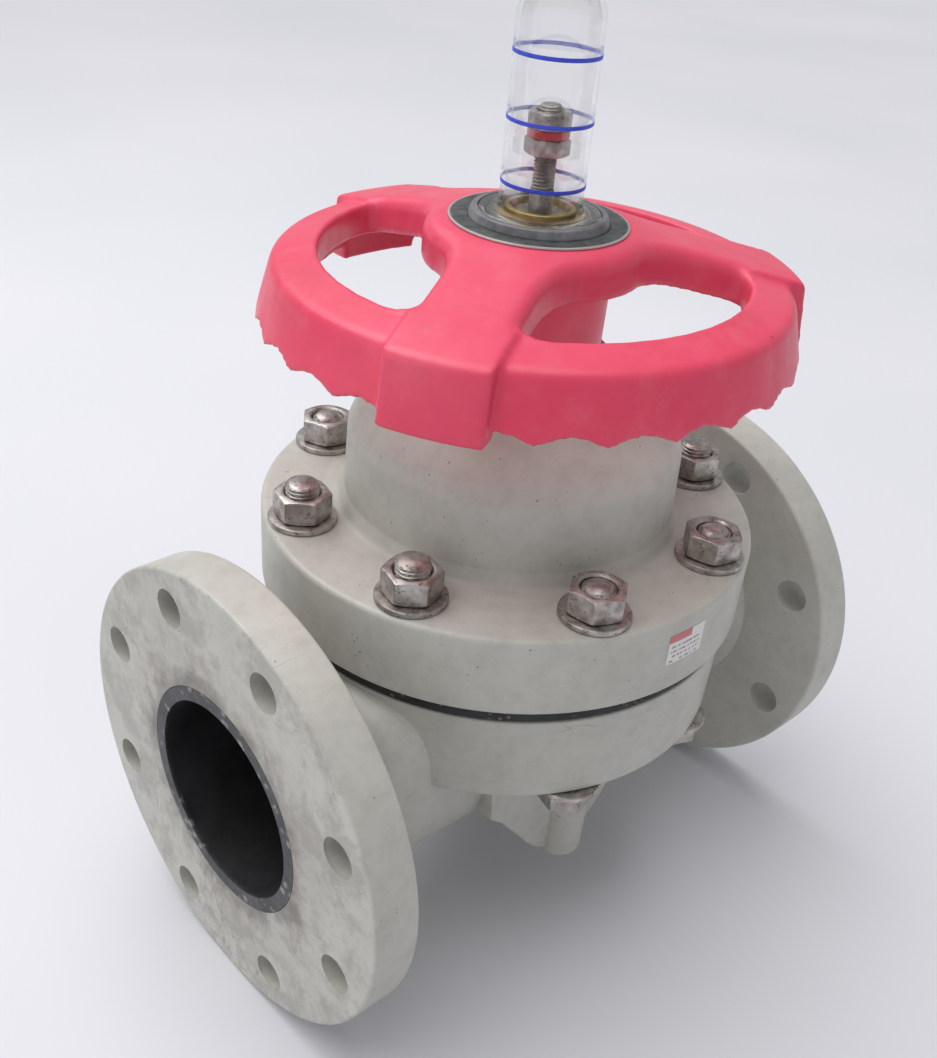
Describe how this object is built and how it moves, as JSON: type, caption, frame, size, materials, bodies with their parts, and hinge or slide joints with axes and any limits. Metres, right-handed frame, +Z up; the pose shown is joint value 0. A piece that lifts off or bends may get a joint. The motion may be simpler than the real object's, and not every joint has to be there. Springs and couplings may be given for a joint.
{
  "type": "diaphragm valve",
  "caption": "Flanged plastic weir diaphragm valve: red three-spoke handwheel over a rising stem, with a clear position indicator cap on top.",
  "frame": {"origin": "under the stem axis, on the surface that the rims of both pipe flanges stand on", "axes": "+X along the pipe towards the rear flange, +Z up the stem; the pipe axis is 114.5 mm above the origin"},
  "size_m": [0.34, 0.2486, 0.4571],
  "materials": {
    "grey_pp": "moulded, grimy",
    "red_pp": "moulded, scuffed",
    "black_lining": "smooth, worn at the lip",
    "black_rubber": "matt",
    "compressor_plastic": "moulded",
    "stainless": "satin, tarnished",
    "brass": "machined",
    "bearing_plastic": "machined",
    "plate_black": "dark printed plate",
    "seat_black": "moulded",
    "clear_cover": "clear polycarbonate",
    "disc_red": "moulded"
  },
  "bodies": {
    "valve_body": {"body": "grey_pp", "body_liner": "black_lining", "diaphragm": "black_rubber", "bonnet": "grey_pp", "thrust_ring_lower": "bearing_plastic", "thrust_ring_upper": "bearing_plastic", "sleeve_retainer": "stainless", "body_bolt_1": "stainless", "body_bolt_2": "stainless", "body_bolt_3": "stainless", "body_bolt_4": "stainless", "body_stud_1": "stainless", "body_stud_2": "stainless", "body_stud_3": "stainless", "body_stud_4": "stainless", "stud_insert_1": "brass", "stud_insert_2": "brass", "stud_insert_3": "brass", "stud_insert_4": "brass", "lower_washer_1": "stainless", "lower_washer_2": "stainless", "lower_washer_3": "stainless", "lower_washer_4": "stainless", "upper_washer_1": "stainless", "upper_washer_2": "stainless", "upper_washer_3": "stainless", "upper_washer_4": "stainless", "upper_washer_5": "stainless", "upper_washer_6": "stainless", "upper_washer_7": "stainless", "upper_washer_8": "stainless", "bonnet_nut_1": "stainless", "bonnet_nut_2": "stainless", "bonnet_nut_3": "stainless", "bonnet_nut_4": "stainless", "bonnet_nut_5": "stainless", "bonnet_nut_6": "stainless", "bonnet_nut_7": "stainless", "bonnet_nut_8": "stainless", "foot_insert_1": "brass", "foot_insert_2": "brass"},
    "wheel": {"handwheel": "red_pp", "sleeve": "brass", "sleeve_o_ring": "black_rubber", "wheel_ring_nut": "seat_black", "nameplate": "plate_black", "cover_seat_ring": "seat_black", "gauge_cover": "clear_cover", "cover_o_ring": "black_rubber"},
    "stem_group": {"stem": "stainless", "stem_joint": "stainless", "compressor": "compressor_plastic", "compressor_pin": "stainless", "diaphragm_stud": "stainless", "indicator_disc": "disc_red", "indicator_nut_lower": "stainless", "indicator_nut_upper": "stainless"}
  },
  "joints": [
    {"name": "wheel_turn", "type": "hinge", "parent": "valve_body", "child": "wheel", "pos_m": [0, 0, 0.3295], "axis": [0, 0, 1], "range_deg": [-1260, 1800]},
    {"name": "stem_lift", "type": "slide", "parent": "valve_body", "child": "stem_group", "axis": [0, 0, 1], "range_m": [-0.0211, 0.0301], "deforming": ["diaphragm"]}
  ],
  "couplings": [
    {"joint": "stem_lift", "follows": "wheel_turn", "m_per_rad": 0.00095493}
  ]
}
